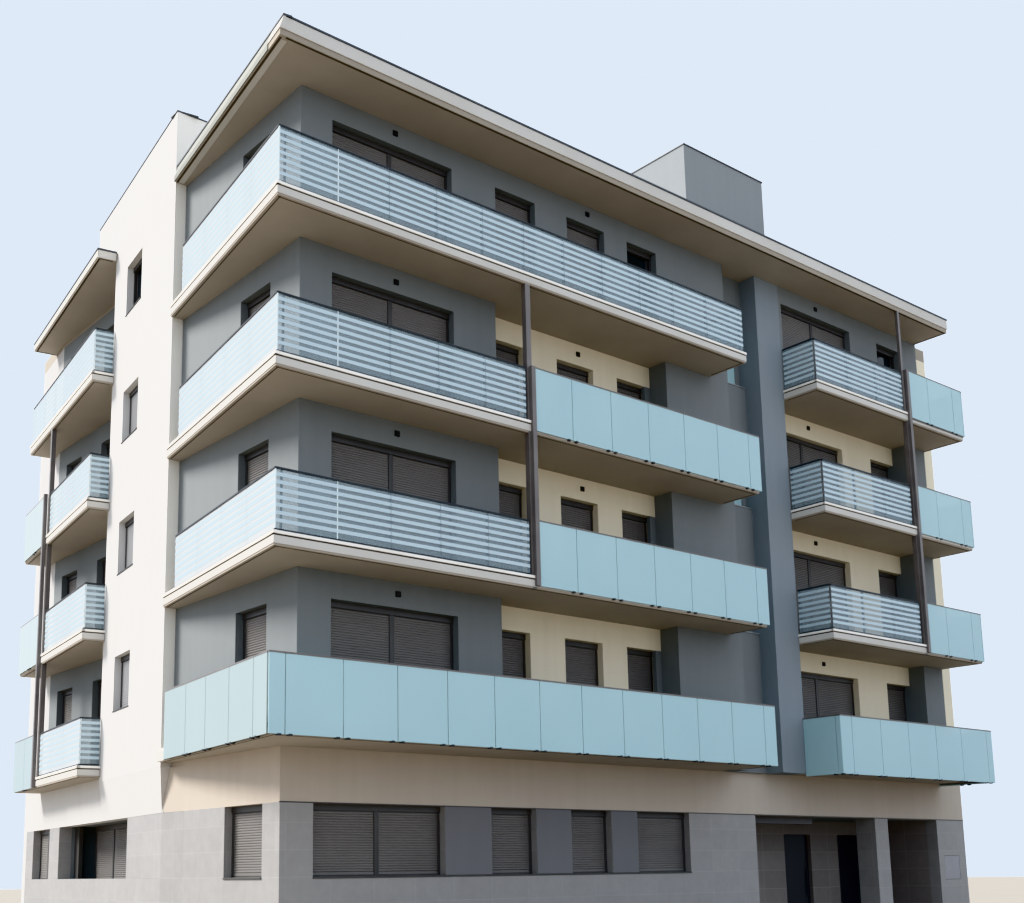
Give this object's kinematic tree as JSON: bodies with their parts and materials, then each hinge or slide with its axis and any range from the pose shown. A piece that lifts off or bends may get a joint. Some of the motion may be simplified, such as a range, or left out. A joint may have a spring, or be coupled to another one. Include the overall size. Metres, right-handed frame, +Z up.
{
  "type": "corner apartment block",
  "caption": "Modern corner apartment block with wrap-around glass balconies, a thin overhanging flat roof, an entrance porch and a white side block.",
  "frame": {"origin": "middle of the plan on the underside of the ground slab, at pavement level", "axes": "+X along the front facade to the right as seen from the front street, +Y from the front street into the block, +Z up"},
  "size_m": [22.335, 17.25, 18.9],
  "materials": {
    "grey_tile": "honed porcelain tile",
    "cream_render": "fine cream render",
    "white_render": "fine white render",
    "grey_render": "fine dark grey render",
    "party_render": "plain cement render",
    "slab_render": "painted concrete slab",
    "porch_tile": "honed porcelain tile",
    "frosted_glass": "pale turquoise frosted glass",
    "shutter_metal": "brown grey lacquered aluminium",
    "door_metal": "dark lacquered aluminium",
    "hatch_metal": "light grey paint",
    "post_steel": "dark grey paint"
  },
  "bodies": {
    "block": {"ground_slab": "slab_render", "tile_front_wall": "grey_tile", "tile_side_wall": "grey_tile", "tile_street_wall": "grey_tile", "tile_end_pier": "grey_tile", "cream_band": "cream_render", "porch_column": "grey_tile", "porch_side_walls": "porch_tile", "porch_back_wall": "porch_tile", "porch_lintel": "porch_tile", "porch_ceiling": "porch_tile", "shutter_box": "shutter_metal", "loggia_walls": "grey_render", "corner_front_wall": "grey_render", "corner_side_wall": "grey_render", "cream_wall_mid": "cream_render", "top_wall_mid": "grey_render", "grey_volume": "grey_render", "recess_wall": "grey_render", "grey_pier": "grey_render", "cream_wall_right": "cream_render", "top_wall_right": "grey_render", "end_volume": "grey_render", "white_street_wall": "white_render", "white_return_wall": "white_render", "left_bay_wall": "grey_render", "party_wall": "party_render", "rear_wall": "cream_render", "floor_slabs": "slab_render", "corner_balconies": "slab_render", "right_balconies": "slab_render", "left_balconies": "slab_render", "roof_slab": "slab_render", "white_parapet": "white_render", "stair_head": "grey_render", "corner_glass": "frosted_glass", "right_glass": "frosted_glass", "left_glass": "frosted_glass", "hanger_posts": "post_steel", "glass_rails": "post_steel", "corner_shutters": "shutter_metal", "right_shutters": "shutter_metal", "ground_shutters": "shutter_metal", "street_windows": "shutter_metal", "rear_windows": "shutter_metal"},
    "left_door": {"porch_door_left": "door_metal"},
    "right_door": {"porch_door_right": "door_metal"},
    "hatch": {"meter_hatch": "hatch_metal"}
  },
  "joints": [
    {"name": "left_door_hinge", "type": "hinge", "parent": "block", "child": "left_door", "pos_m": [6.048, -5.349, 0.158], "axis": [0, 0, 1], "range_deg": [0, 90]},
    {"name": "right_door_hinge", "type": "hinge", "parent": "block", "child": "right_door", "pos_m": [8.318, -5.349, 0.158], "axis": [0, 0, 1], "range_deg": [0, 90]},
    {"name": "hatch_hinge", "type": "hinge", "parent": "block", "child": "hatch", "pos_m": [10.752, -7.502, 1.272], "axis": [0, 0, 1], "range_deg": [0, 100]}
  ]
}
